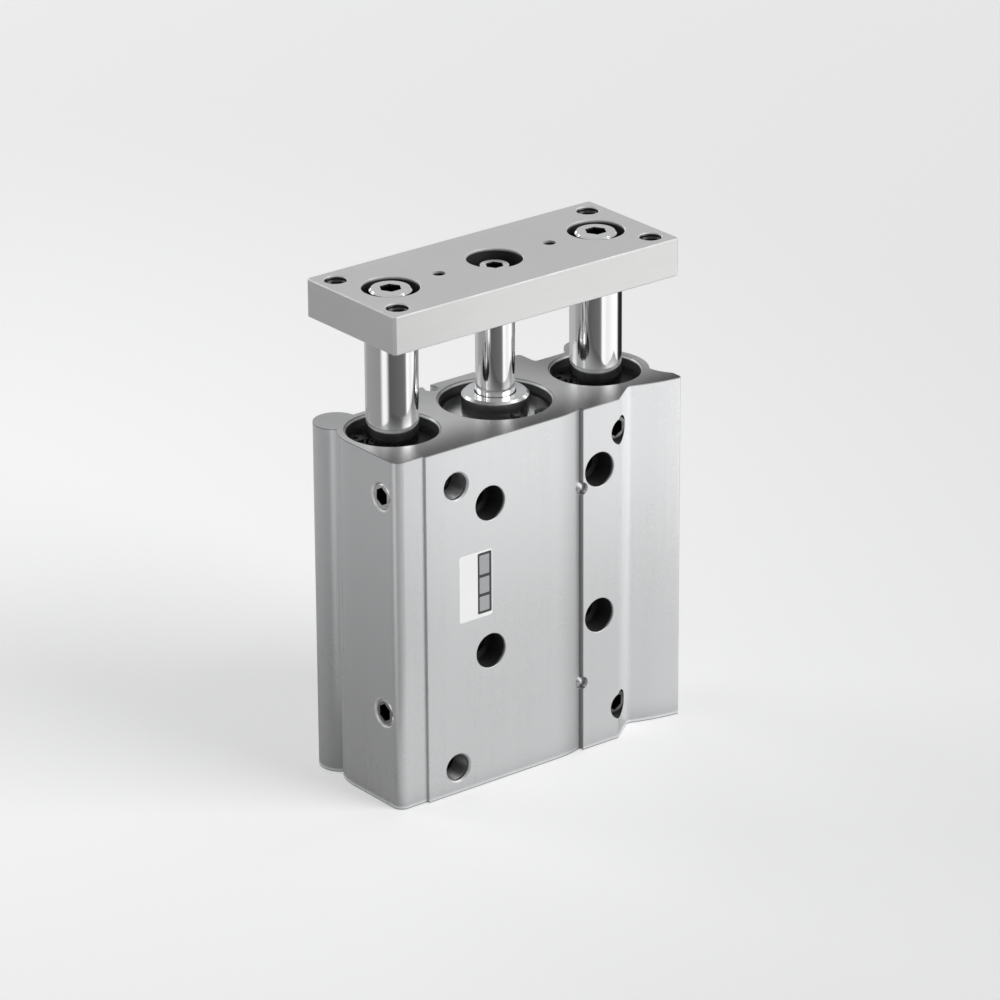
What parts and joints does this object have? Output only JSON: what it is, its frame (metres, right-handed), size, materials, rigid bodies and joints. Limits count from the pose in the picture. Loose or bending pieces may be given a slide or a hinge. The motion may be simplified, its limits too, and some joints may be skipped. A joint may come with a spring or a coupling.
{
  "type": "guided pneumatic cylinder",
  "caption": "Flat block-bodied air cylinder whose piston rod and parallel guide rods carry a rectangular tool plate; threaded side ports, through mounting holes and tapped holes in the plate.",
  "frame": {"origin": "middle of the body's flat lower end, which is the lowest face of the part", "axes": "+Z is the stroke, from the body to the tool plate; -Y is the front, with the two open ports; +X is to the right seen from the front"},
  "size_m": [0.111, 0.048, 0.1575],
  "materials": {
    "anodised_body": "clear anodised, satin",
    "anodised_cover": "turned, clear anodised",
    "piston_aluminium": "turned",
    "plate_steel": "ground and nickel plated",
    "rod_chrome": "hard chrome plated, ground",
    "bolt_steel": "zinc plated",
    "plug_steel": "zinc plated",
    "bushing_steel": "drawn and hardened",
    "spring_steel": "phosphated spring steel",
    "wiper_plastic": "black moulded",
    "seal_rubber": "black nitrile rubber",
    "bumper_rubber": "brown urethane rubber",
    "magnet": "plastic-bonded magnet"
  },
  "bodies": {
    "body": {"housing": "anodised_body", "rod_cover": "anodised_cover", "rod_seal": "seal_rubber", "rod_cover_seal_ring": "seal_rubber", "rod_cover_retaining_ring": "spring_steel", "head_cover": "anodised_cover", "head_cover_seal_ring": "seal_rubber", "head_cover_retaining_ring": "spring_steel", "side_port_plugs": "plug_steel", "face_port_plugs": "plug_steel", "passage_plugs": "plug_steel", "guide_bushing_left": "bushing_steel", "guide_bushing_right": "bushing_steel", "guide_wiper_left": "wiper_plastic", "guide_wiper_right": "wiper_plastic", "guide_retaining_ring_left": "spring_steel", "guide_retaining_ring_right": "spring_steel"},
    "slider": {"tool_plate": "plate_steel", "guide_rod_bolts": "bolt_steel", "piston_rod_bolt": "bolt_steel", "piston_rod": "rod_chrome", "piston": "piston_aluminium", "piston_seal": "seal_rubber", "piston_magnet": "magnet", "rod_side_bumper": "bumper_rubber", "head_side_bumper": "bumper_rubber", "guide_rod_left": "rod_chrome", "guide_rod_right": "rod_chrome"}
  },
  "joints": [
    {"name": "plate_slide", "type": "slide", "parent": "body", "child": "slider", "axis": [0, 0, 1], "range_m": [-0.023, 0.052]}
  ]
}
